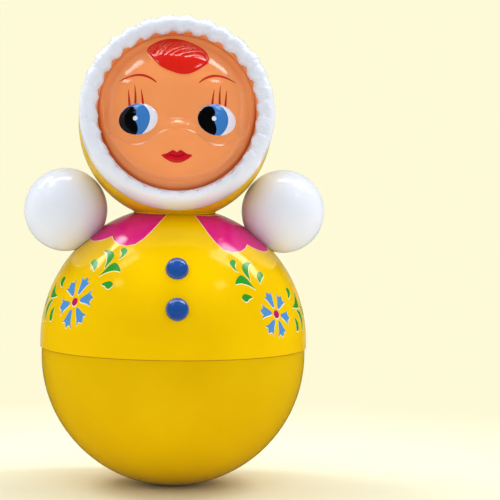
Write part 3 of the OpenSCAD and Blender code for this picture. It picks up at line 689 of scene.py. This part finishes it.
# part, outline, paint, height of its film and size of its triangles
EYE_FILMS = (("white", oval, "eye_white", 0.04, 0.7), ("iris", iris, "iris", 0.07, 0.7),
             ("lobe", lobe, "black", 0.10, 0.7), ("glint", glint, "eye_white", 0.13, 0.5))
for side, name in ((-1, "right"), (1, "left")):
    middle = np.array([side * EYE_X, EYE_Y])
    for part, shape, paint, proud, step in EYE_FILMS:
        face_film(f"eye_{part}_{name}", [shape + middle], paint, proud, step)

# %% [markdown]
# Brows and lashes are single strokes of a fine brush or mask: thickest in the middle or at the root, and
# drawn out to a point. The lips and the forelock are painted over the relief that they already have.

# %% Brows, lashes, lips and forelock
BROW = [(9.4, 11.0), (13.4, 13.9), (17.6, 14.9), (21.9, 14.2), (25.9, 12.5)]
BROW_WIDE = (0.5, 0.95, 1.15, 1.0, 0.65, 0.15)
LASHES = [[(15.2, 1.2), (15.5, 4.6), (16.1, 8.4)], [(18.5, 2.0), (18.5, 6.0), (18.85, 10.5)],
          [(21.0, 1.2), (21.3, 4.8), (21.6, 8.4)]]
LASH_WIDE = (0.95, 0.85, 0.55, 0.15)
STROKE_STEPS, FACE_PAINT, STROKE_MESH, LIPS_MESH, LOCK_MESH = 28, 0.05, 0.45, 0.3, 0.25


def stroke(points, widths):
    """The outline of a brush stroke along a smooth open line."""
    p, wide = np.array(points, float), np.array(widths, float)
    s, u = np.linspace(0, 1, len(p)), np.linspace(0, 1, STROKE_STEPS)
    line = np.column_stack([np.polyval(np.polyfit(s, p[:, k], len(p) - 1), u) for k in (0, 1)])
    half = np.interp(u, np.linspace(0, 1, len(wide)), wide)[:, None] / 2
    along = np.gradient(line, axis=0)
    across = np.column_stack([-along[:, 1], along[:, 0]]) / np.linalg.norm(along, axis=1)[:, None]
    return np.vstack([line - across * half, (line + across * half)[::-1]])


strokes = []
for side in (-1, 1):
    for line, wide in [(BROW, BROW_WIDE)] + [(lash, LASH_WIDE) for lash in LASHES]:
        strokes.append(stroke([(side * x, y) for x, y in line], wide))
face_film("brows_and_lashes", strokes, "brow", FACE_PAINT, STROKE_MESH)
face_film("lips", [LIPS], "lip", FACE_PAINT, LIPS_MESH)
face_film("forelock", [FORELOCK], "hair", FACE_PAINT, LOCK_MESH)

# %% [markdown]
# The fur trim is one moulded ring: a hollow strip with a round crest, textured with short staggered tufts. Its
# section is drawn once, and Geometry Nodes carry it round the ring and raise the tufts, row by row, so the
# number of tufts and their height stay plain inputs.

# %% The trim's section
TRIM_IN, TRIM_OUT, TRIM_HOLE, TRIM_WALL = 35.441, 42.541, 40.541, 1.8
TRIM_BACK, TRIM_CREST, IN_STEPS, CREST_STEPS, OUT_STEPS, HOLE_COARSER = 14.7, 29.7, 14, 40, 26, 4
crest_r = (TRIM_OUT - TRIM_IN) / 2
crest_w = TRIM_CREST - crest_r
hole_in = TRIM_IN + TRIM_WALL
hole_r = (TRIM_HOLE - hole_in) / 2
arc = np.linspace(np.pi, 0, CREST_STEPS)
section = [(TRIM_IN, w) for w in np.linspace(FLANGE_W, crest_w, IN_STEPS, endpoint=False)]
section += [(TRIM_IN + crest_r + crest_r * math.cos(a), crest_w + crest_r * math.sin(a)) for a in arc]
section += [(TRIM_OUT, w) for w in np.linspace(crest_w, TRIM_BACK, OUT_STEPS)[1:]]
section += [(TRIM_HOLE, TRIM_BACK), (TRIM_HOLE, crest_w)]
section += [(hole_in + hole_r + hole_r * math.cos(a), crest_w + hole_r * math.sin(a))
            for a in arc[::-HOLE_COARSER]]
section += [(hole_in, FLANGE_W), (TRIM_IN, FLANGE_W)]
section_mm = float(np.linalg.norm(np.diff(np.array(section), axis=0), axis=1).sum())
crest_start = (crest_w - FLANGE_W) / section_mm
crest_end = crest_start + math.pi * crest_r / section_mm
wall_end = crest_end + (crest_w - TRIM_BACK) / section_mm
print("section", round(section_mm, 1), "mm round, crest from", round(crest_start, 2), "to", round(crest_end, 2))

# %% [markdown]
# A node tree starts with its inputs. This one lays a flat grid, reads one side of it as the turn round the ring
# and the other as the share of the section's length, and finds each point's place on the smooth ring.

# %% The trim's tree: inputs and the smooth ring
def declare(name, kinds):
    """A new Geometry Nodes tree, its inputs' identifiers, and its inputs as terms."""
    tree = bpy.data.node_groups.new(name, "GeometryNodeTree")
    identifiers = {}
    for key, kind in kinds.items():
        socket = tree.interface.new_socket(name=key, in_out="INPUT", socket_type="NodeSocket" + kind)
        identifiers[key] = socket.identifier
    tree.interface.new_socket(name="Geometry", in_out="OUTPUT", socket_type="NodeSocketGeometry")
    return tree, identifiers, read(add(tree, "NodeGroupInput"))


trim_values = {"Ring Steps": 700, "Section Steps": 110, "Tufts": 30, "Section Length": section_mm * MM,
               "Crest Start": crest_start, "Crest End": crest_end, "Wall End": wall_end, "Row Length": 7.6 * MM,
               "Tuft Height": 1.1 * MM, "Low Edge": 1.1 * MM, "Slant": 0.22, "Side Swell": 0.8 * MM,
               "Chin Round": 1.0, "Material": furry}
trim_kinds = {"Geometry": "Geometry"}
for name, value in trim_values.items():
    trim_kinds[name] = {int: "Int", float: "Float"}.get(type(value), "Material")
trim_tree, trim_inputs, given = declare("fur_ring", trim_kinds)
T, begin, end, back = trim_tree, given["Crest Start"], given["Crest End"], given["Wall End"]
grid = add(T, "GeometryNodeMeshGrid", {"Size X": 1.0, "Size Y": 1.0, "Vertices X": given["Ring Steps"],
                                       "Vertices Y": given["Section Steps"]})
flat = read(add(T, APART, {0: add(T, "GeometryNodeInputPosition")}))
turn = 0.5 - flat["X"]
share = flat["Y"].to("ADD CLAMPED", 0.5)
cosine, sine = [(turn * FULL_TURN).to(operation) for operation in ("COSINE", "SINE")]
line = add(T, "GeometryNodeMeshToCurve", {0: given["Geometry"]})
sample = add(T, "GeometryNodeSampleCurve", {"Curves": line, "Factor": share}, mode="FACTOR",
             use_all_curves=True)
place, run = [read(add(T, APART, {0: sample.outputs[name]})) for name in ("Position", "Tangent")]
smooth_ring = add(T, TOGETHER, {0: place["X"] * cosine, 1: place["X"] * sine, 2: place["Y"]})
print("trim inputs", len(trim_inputs))

# %% [markdown]
# The tufts stand in rows along the section, with borders that wander, and every tuft leans a little. They are
# round at the crown and along the inner edge, where they end as teeth, and sharp on one side elsewhere. Fine
# hairs run along each.

# %% The trim's tree: tufts
WANDER_MM, WANDER, CROWN_LOW, CROWN_HIGH = 9.0, 0.5, -0.45, 0.8
ROUND_POWER, SHARP_FROM, HUMP_POWER, HUMP, HUMP_LEAST = 0.75, 0.84, 0.5, 0.55, 0.45
STRANDS, HAIR_SCALE, HAIR, HAIR_CALM, TUFT_SINK = 6.0, 1.5, 1.1, -0.75, 0.4

wander = (Term(specks(T, smooth_ring, WANDER_MM, 1.0).outputs[0]) - 0.5) * WANDER
row = share * given["Section Length"] / given["Row Length"] + wander
tuft = turn * given["Tufts"] + row * given["Slant"] + wander
row_at, tuft_at = row.to("FRACT"), tuft.to("FRACT")
# how near a point is to the inner or the outer edge of the crest, and to the crown of the head
middle = (begin + end) * 0.5
inner = share.to("STEP", begin, middle, 1.0, 0.0)
outer = share.to("STEP", middle, end, 0.0, 1.0)
crown = sine.to("STEP", CROWN_LOW, CROWN_HIGH, 0.0, 1.0)
tooth = inner * crown
# across a tuft: a round ridge, or a slope with a sharp drop; along it: a hump, but none on the teeth
ridge = ((tuft_at * FULL_TURN).to("COSINE") * -0.5 + 0.5) ** ROUND_POWER
shingle = tuft_at * tuft_at.to("STEP", SHARP_FROM, 1.0, 1.0, 0.0)
ridge = inner.to("ADD CLAMPED", crown).to("MIX", shingle, ridge)
hump = (row_at * math.pi).to("SINE") ** HUMP_POWER * HUMP + HUMP_LEAST
strand_at = add(T, TOGETHER, {0: tuft * STRANDS, 1: row})
noise = add(T, NOISE, {"Vector": strand_at, "Scale": HAIR_SCALE, "Detail": 1.0})
hair = (Term(noise.outputs[0]) - 0.5) * (tooth * HAIR_CALM + HAIR)
lock = ridge * tooth.to("MIX", hump, 1.0) + hair - TUFT_SINK
print("fur tree so far", len(T.nodes), "nodes")

# %% [markdown]
# At the crown the outer edge swells, the inner edge draws back between its teeth, and each tooth has a dimple.
# The tufts fade out where the ring meets the hood and the face, and on its outer side below the crown. Under
# the chin the inner edge is worn lower.

# %% The trim's tree: crown, fading and chin
PUFF_IN, PUFF_OUT = -0.12, 0.3
DIMPLE_AT, DIMPLE_MM, DIMPLE_NARROW, DIMPLE_DEEP = 0.36, 1.1, 7.0, -0.6
FADE_IN, FADE_OUT, BOLD, BOLD_IN, BOLD_OUT, PLAIN_POWER = -0.035, 0.11, 0.62, 0.45, 0.5, 3.0
WORN_FROM, WORN_TO = -0.35, -0.95

across = (tuft_at - 0.5) * DIMPLE_NARROW
beside = (share - begin - (end - begin) * DIMPLE_AT) * given["Section Length"] / (DIMPLE_MM * MM)
dimple = ((across * across + beside * beside) * -1.0).to("EXPONENT")
lock = lock + (inner * PUFF_IN + outer * PUFF_OUT + dimple * DIMPLE_DEEP) * crown
start = share.to("STEP", begin + FADE_IN, begin, 0.0, 1.0)
stop = share.to("STEP", end, end + FADE_OUT, 1.0, 0.0)
bold = inner * BOLD_IN + BOLD + outer * BOLD_OUT * crown
zone = crown.to("MIX", (1.0 - outer) ** PLAIN_POWER, 1.0)
worn = sine.to("STEP", WORN_FROM, WORN_TO, 0.0, 1.0) * inner * start * given["Low Edge"]
rise = lock * bold * zone * start * stop * given["Tuft Height"] - worn
print("fur tree so far", len(T.nodes), "nodes")

# %% [markdown]
# The ring's outer wall is a little fuller at the cheeks, and under the chin it becomes a quarter of an ellipse.
# Then each point is raised along the section's normal and carried round the ring.

# %% The trim's tree: walls and the raised ring
WALL_FADE, CHIN_FROM, CHIN_TO, CHEEK_FROM, CHEEK_TO, WELD_MM = -0.09, -0.1, -0.75, 0.35, 0.8, 0.002

high = place["Y"].to("RANGE", TRIM_BACK * MM, TRIM_CREST * MM, 0.0, 1.0)
round_r = (high * high * -1.0).to("ADD CLAMPED", 1.0).to("SQRT") * (crest_r * MM) + (TRIM_IN + crest_r) * MM
chin = sine.to("STEP", CHIN_FROM, CHIN_TO, 0.0, given["Chin Round"])
chin = chin * share.to("GREATER_THAN", middle) * share.to("LESS_THAN", back)
cheek = cosine.to("ABSOLUTE").to("STEP", CHEEK_FROM, CHEEK_TO, 0.0, 1.0) * (1.0 - crown)
cheek = cheek * share.to("STEP", back + WALL_FADE, back, 1.0, 0.0) * outer
far_r = chin.to("MIX", place["X"], round_r) - run["Y"] * rise + cheek * given["Side Swell"]
far_w = place["Y"] + run["X"] * rise
raised = add(T, TOGETHER, {0: far_r * cosine, 1: far_r * sine, 2: far_w})
ring = add(T, "GeometryNodeSetPosition", {"Geometry": grid, "Position": raised})
ring = add(T, "GeometryNodeMergeByDistance", {"Geometry": ring, "Distance": WELD_MM * MM})
ring = add(T, "GeometryNodeSetShadeSmooth", {0: ring})
ring = add(T, "GeometryNodeRealizeInstances", {0: ring})
ring = add(T, "GeometryNodeSetMaterial", {"Geometry": ring, "Material": given["Material"]})
add(T, "NodeGroupOutput", {0: ring})
print("fur tree", len(T.nodes), "nodes")

# %% [markdown]
# Baking runs a tree once and keeps its result as a plain mesh, so nothing is left to work out later. The inputs
# are set before the first run, each by its socket's identifier.

# %% Bake the fur trim
def bake(obj, tree, identifiers, values):
    """Runs a node tree on an object and keeps the result as a plain mesh."""
    step = obj.modifiers.new(tree.name, "NODES")
    step.node_group = tree
    for name, value in values.items():
        step[identifiers[name]] = value
    ready = bpy.context.evaluated_depsgraph_get()
    mesh = bpy.data.meshes.new_from_object(obj.evaluated_get(ready), depsgraph=ready)
    obj.modifiers.clear()
    obj.data = mesh


section_mesh = bpy.data.meshes.new("trim_section")
edges = [(i, i + 1) for i in range(len(section) - 1)]
section_mesh.from_pydata([(r * MM, w * MM, 0) for r, w in section], edges, [])
fur = bpy.data.objects.new("fur_ring", section_mesh)
scene.collection.objects.link(fur)
bake(fur, trim_tree, trim_inputs, trim_values)
fur.data.transform(head_frame)
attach(fur, "head")
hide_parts("fur_trim")
print("fur ring", len(fur.data.polygons), "faces")

# %% [markdown]
# The dress is printed on the upper half ball: a scalloped collar round the neck, open at the front, and on each
# breast a blue flower between two sprays of leaves. Each motif is drawn flat once. Geometry Nodes repeat it
# round its middle and wrap the flat film onto the ball, so petals and leaves stay true to size on the curve.

# %% The printing tree
print_tree, print_inputs, given = declare("print_on_ball", {
    "Geometry": "Geometry", "Copies": "Int", "First Turn": "Float", "Turn": "Float", "Squeeze": "Float",
    "Ball Radius": "Float", "Ball Middle": "Vector", "Right": "Vector", "Up": "Vector", "Out": "Vector",
    "Material": "Material"})
LEAST_REACH = 1e-7
T = print_tree
index = Term(add(T, "GeometryNodeInputIndex").outputs[0])
spin = add(T, TOGETHER, {2: index * given["Turn"] + given["First Turn"]})
marks = add(T, "GeometryNodePoints", {"Count": given["Copies"]})
copies = add(T, "GeometryNodeInstanceOnPoints", {"Points": marks, "Instance": given["Geometry"],
                                                 "Rotation": spin})
copies = add(T, "GeometryNodeRealizeInstances", {0: copies})
flat = read(add(T, APART, {0: add(T, "GeometryNodeInputPosition")}))
wide = flat["X"] * given["Squeeze"]
plane = add(T, TOGETHER, {0: wide, 1: flat["Y"]})
reach = read(add(T, VECTOR, {0: plane}, operation="LENGTH"))["Value"].to("MAXIMUM", LEAST_REACH)
bend = reach / given["Ball Radius"]
go = given["Right"].to("VECTOR SCALE", wide).to("VECTOR ADD", given["Up"].to("VECTOR SCALE", flat["Y"]))
go = go.to("VECTOR SCALE", bend.to("SINE") / reach)
way = go.to("VECTOR ADD", given["Out"].to("VECTOR SCALE", bend.to("COSINE")))
place = way.to("VECTOR SCALE", given["Ball Radius"] + flat["Z"]).to("VECTOR ADD", given["Ball Middle"])
wrapped = add(T, "GeometryNodeSetPosition", {"Geometry": copies, "Position": place})
wrapped = add(T, "GeometryNodeSetMaterial", {"Geometry": wrapped, "Material": given["Material"]})
add(T, "NodeGroupOutput", {0: wrapped})
print("printing tree", len(T.nodes), "nodes")

# %% [markdown]
# On this doll the print sits a few degrees askew, as hand-fed printing does. Each motif has two films: a pale
# underprint, grown a little beyond the outline, and the ink on top of it.

# %% Place of the prints
BODY_R, BODY_Z = 60.0, 65.8962
PRINT_TURN, PRINT_LEAN = -1.6, 3.0
EDGE_FILM, INK_FILM = 0.04, 0.07
print_frame = Matrix.Rotation(math.radians(PRINT_TURN), 3, "Z")
print_frame = print_frame @ Matrix.Rotation(math.radians(PRINT_LEAN), 3, "Y")


def on_paper(xy):
    """Points and normals of a flat sheet."""
    return np.column_stack([xy, np.zeros(len(xy))]), np.tile([0.0, 0.0, 1.0], (len(xy), 1))


def printed(name, loops, paint, proud, step, azimuth, elevation, copies=1, first=0.0, turn=0.0, squeeze=1.0,
            holes=()):
    """A motif, repeated round a point of the upper half ball and wrapped onto it."""
    verts, faces = thick(*flat_film(loops, step, holes), on_paper, proud)
    obj = new_piece(name, verts, faces, PAINT[paint])
    right, out = print_frame @ around(azimuth + 90, 0, 1), print_frame @ around(azimuth, elevation, 1)
    bake(obj, print_tree, print_inputs, {
        "Copies": copies, "First Turn": math.radians(first), "Turn": math.radians(turn), "Squeeze": squeeze,
        "Ball Radius": BODY_R * MM, "Ball Middle": (0, 0, BODY_Z * MM), "Right": tuple(right),
        "Up": tuple(out.cross(right)), "Out": tuple(out), "Material": PAINT[paint]})
    obj.data.shade_smooth()
    obj.data.set_sharp_from_angle(angle=math.radians(FILM_SHARP))
    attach(obj, "body")
    print(name, len(obj.data.polygons), "faces")


def grown(loop, by):
    """An outline moved outwards by a constant amount."""
    loop = np.asarray(loop, float)
    along = np.roll(loop, -1, 0) - np.roll(loop, 1, 0)
    across = np.column_stack([along[:, 1], -along[:, 0]]) / (np.linalg.norm(along, axis=1)[:, None] + 1e-9)
    area = np.sum(loop[:, 0] * np.roll(loop[:, 1], -1) - loop[:, 1] * np.roll(loop[:, 0], -1))
    return loop + across * by * (1 if area > 0 else -1)


print("prints lie on a ball of radius", BODY_R, "mm")

# %% [markdown]
# The collar is drawn as seen from above, in degrees from the crown and round the neck. Five scallops follow
# each other on each side, from the front opening to the back. It runs on under the hands, where a round hole
# leaves room for each hand's stem.

# %% Collar
NECK_EDGE, NOTCH, LOBE_LOW = 17.3, 39.4, 44.0
FRONT = [(20.2, 17.3), (20.2, 21.0), (20.8, 26.0), (21.6, 30.0), (23.0, 34.5), (25.2, 39.0), (28.6, 42.6),
         (34.0, 44.0), (40.5, 43.5), (46.5, 41.8), (50.2, 40.0)]
LOBES, LOBE_TURN, LOBE_FROM, LOBE_POWER, LOBE_POINTS, NECK_POINTS = 4, 32.1, 51.6, 0.7, 14, 90
HAND_LEAN, STEM_CLEAR = 40.08, 6.5
COLLAR_STEP, COLLAR_EDGE = 2.2, 0.3


def from_crown(points):
    """Degrees round the neck and down from the crown, as millimetres in the flat."""
    p = np.radians(np.array(points, float))
    return np.column_stack([np.sin(p[:, 0]), -np.cos(p[:, 0])]) * (BODY_R * p[:, 1])[:, None]


half = list(FRONT)
for k in range(LOBES):
    for s in np.linspace(0, 1, LOBE_POINTS, endpoint=False):
        down = NOTCH + (LOBE_LOW - NOTCH) * math.sin(math.pi * s) ** LOBE_POWER
        half.append((LOBE_FROM + (k + s) * LOBE_TURN, down))
around_neck = half + [(180.0, NOTCH)] + [(360 - a, d) for a, d in half[::-1]]
neck = [(a, NECK_EDGE) for a in np.linspace(360 - FRONT[0][0], FRONT[0][0], NECK_POINTS)[1:-1]]
collar = from_crown(around_neck + neck)
stems = [(s * BODY_R * math.radians(HAND_LEAN), 0, STEM_CLEAR) for s in (-1, 1)]
printed("collar_edge", [grown(collar, COLLAR_EDGE)], "pale", EDGE_FILM, COLLAR_STEP, 0, 90, holes=stems)
printed("collar", [collar], "magenta", INK_FILM, COLLAR_STEP, 0, 90, holes=stems)

# %% [markdown]
# A petal is a narrow fan with three teeth, as on a cornflower, and six of them stand round a dot. A spray has
# five leaves: a small drop at the tip, a pair of commas and a pair of drops. The right sprig is the left one
# turned over, a little larger, with narrower petals, and spun by a few degrees.

# %% Sprigs
SPRIG_AZIMUTH, SPRIG_ELEVATION, UNDER_DOWN = 50.4, 16.8, 0.3
PETAL = [(3.1, -0.35), (4.2, -1.0), (6.0, -1.6), (7.6, -2.2), (9.3, -3.3), (8.5, -1.6), (10.3, 0.0), (8.5, 1.5),
         (9.2, 3.25), (7.6, 2.2), (6.0, 1.6), (4.2, 1.0), (3.1, 0.35)]
PETALS, PETAL_TURN, PETAL_FIRST = 6, 60.0, -10.5
DOT_R, DOT_POINTS, UNDER, SPRIG_STEP, DOT_STEP, LEAF_STEPS = 1.85, 24, 0.13, 1.0, 0.8, 4
SPRAY_TURNS, SPRIG_SPIN = (121.0, 3.0), {"left": 0.0, "right": 6.0}
PETAL_SIZE, PETAL_SQUEEZE = {"left": 1.04, "right": 1.2}, {"left": 0.95, "right": 0.88}
LEAF_SIZE = {"left": 1.04, "right": 1.08}
TIP_DROP = [(25.0, 2.3), (26.9, 2.7), (28.6, 2.3), (30.0, 1.5), (30.4, 0.0), (30.0, -1.4), (29.0, -1.8),
            (28.2, -1.2), (27.8, 0.3), (27.3, 1.3), (26.2, 2.0)]
RIGHT_COMMA = [(23.0, -8.3), (24.1, -7.1), (24.9, -5.8), (25.4, -4.0), (25.2, -2.2), (24.2, -0.7), (22.8, 0.2),
               (21.1, 0.6), (19.7, 0.8), (18.6, 1.0), (19.8, -0.2), (21.0, -1.3), (22.0, -2.7), (22.8, -4.2),
               (23.2, -5.9), (23.1, -7.2)]
LEFT_COMMA = [(22.2, 8.4), (23.0, 6.9), (23.4, 5.2), (23.4, 3.4), (22.8, 2.3), (21.4, 1.8), (19.6, 1.7),
              (17.6, 1.9), (15.8, 2.1), (14.5, 2.1), (16.2, 2.7), (17.9, 3.5), (19.3, 4.5), (20.7, 5.8),
              (21.5, 7.1)]
RIGHT_DROP = [(14.6, -2.7), (16.3, -3.2), (17.5, -4.2), (18.2, -5.7), (18.1, -7.4), (17.2, -8.3), (15.9, -8.3),
              (15.4, -7.5), (15.3, -5.8), (15.0, -4.0)]
LEFT_DROP = [(13.1, 6.3), (14.7, 6.8), (15.8, 7.6), (16.6, 8.6), (16.7, 9.9), (16.2, 10.8), (15.1, 11.0),
             (13.8, 10.5), (13.4, 9.4), (13.6, 8.2)]
LEAVES = (TIP_DROP, RIGHT_COMMA, LEFT_COMMA, RIGHT_DROP, LEFT_DROP)
SPRAY = [smooth_loop(leaf, LEAF_STEPS) for leaf in LEAVES]


def mirrored(loop, side):
    """An outline as it is for the left side, or turned over for the right."""
    return loop if side > 0 else (loop * (1, -1))[::-1]


dot = ellipse(DOT_R, DOT_R, DOT_POINTS)
for side, name in ((1, "left"), (-1, "right")):
    petal = mirrored(np.array(PETAL) * PETAL_SIZE[name], side)
    spray = [mirrored(leaf * LEAF_SIZE[name], side) for leaf in SPRAY]
    first, *turns = [SPRIG_SPIN[name] + (a if side > 0 else 180 - a) for a in (PETAL_FIRST, *SPRAY_TURNS)]
    ring = {"copies": PETALS, "first": first, "turn": PETAL_TURN, "squeeze": PETAL_SQUEEZE[name]}
    twice = {"copies": 2, "first": turns[0], "turn": turns[1] - turns[0]}
    for edge, ink, paint, shapes, below, step, repeat in (
            ("petal_edges", "petals", "petal", [petal], [grown(petal, UNDER)], SPRIG_STEP, ring),
            ("leaf_edges", "leaves", "green", spray, [grown(leaf, UNDER) for leaf in spray], SPRIG_STEP, twice),
            ("dot_edge", "dot", "berry", [dot], [dot * (1 + UNDER / DOT_R)], DOT_STEP, {})):
        printed(f"{edge}_{name}", below, "pale", EDGE_FILM, step,
                side * SPRIG_AZIMUTH, SPRIG_ELEVATION - UNDER_DOWN, **repeat)
        printed(f"{ink}_{name}", shapes, paint, INK_FILM, step, side * SPRIG_AZIMUTH, SPRIG_ELEVATION, **repeat)

# %% [markdown]
# The dome laps over the bowl, with a narrow step below its edge. A thin dark amber band lies in that step as
# painted
# shade: it stands in for the shadow there, and draws the seam as a fine line all round.

# %% Seam line
SEAM_Z, SEAM_IN, SEAM_OUT, SEAM_H, SEAM_STEPS, SEAM_GAP, SEAM_BEVEL = 62.696, 59.2, 59.72, 0.32, 360, 0.02, 0.12
# Painted shade in the step: matt, and uneven over a few millimetres.
seam_shade = enamel("amber_painted_seam_shade", "#A87200", "#8C5C00", 0.55, mottle_mm=3.0, ior=1.3)
corners = [(SEAM_IN, SEAM_Z - SEAM_H), (SEAM_OUT - SEAM_BEVEL, SEAM_Z - SEAM_H),
           (SEAM_OUT, SEAM_Z - SEAM_GAP), (SEAM_IN, SEAM_Z - SEAM_GAP)]
verts = np.array([(r * x, r * y, z) for x, y in ellipse(1.0, 1.0, SEAM_STEPS) for r, z in corners]) * MM
faces = []
for i in range(SEAM_STEPS):
    a, b = 4 * i, 4 * ((i + 1) % SEAM_STEPS)
    faces += [(a + k, b + k, b + (k + 1) % 4, a + (k + 1) % 4) for k in range(4)]
seam = new_piece("seam_line", verts, faces, seam_shade, sharp=FILM_SHARP)
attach(seam, "body")
print("seam line at", SEAM_Z, "mm")
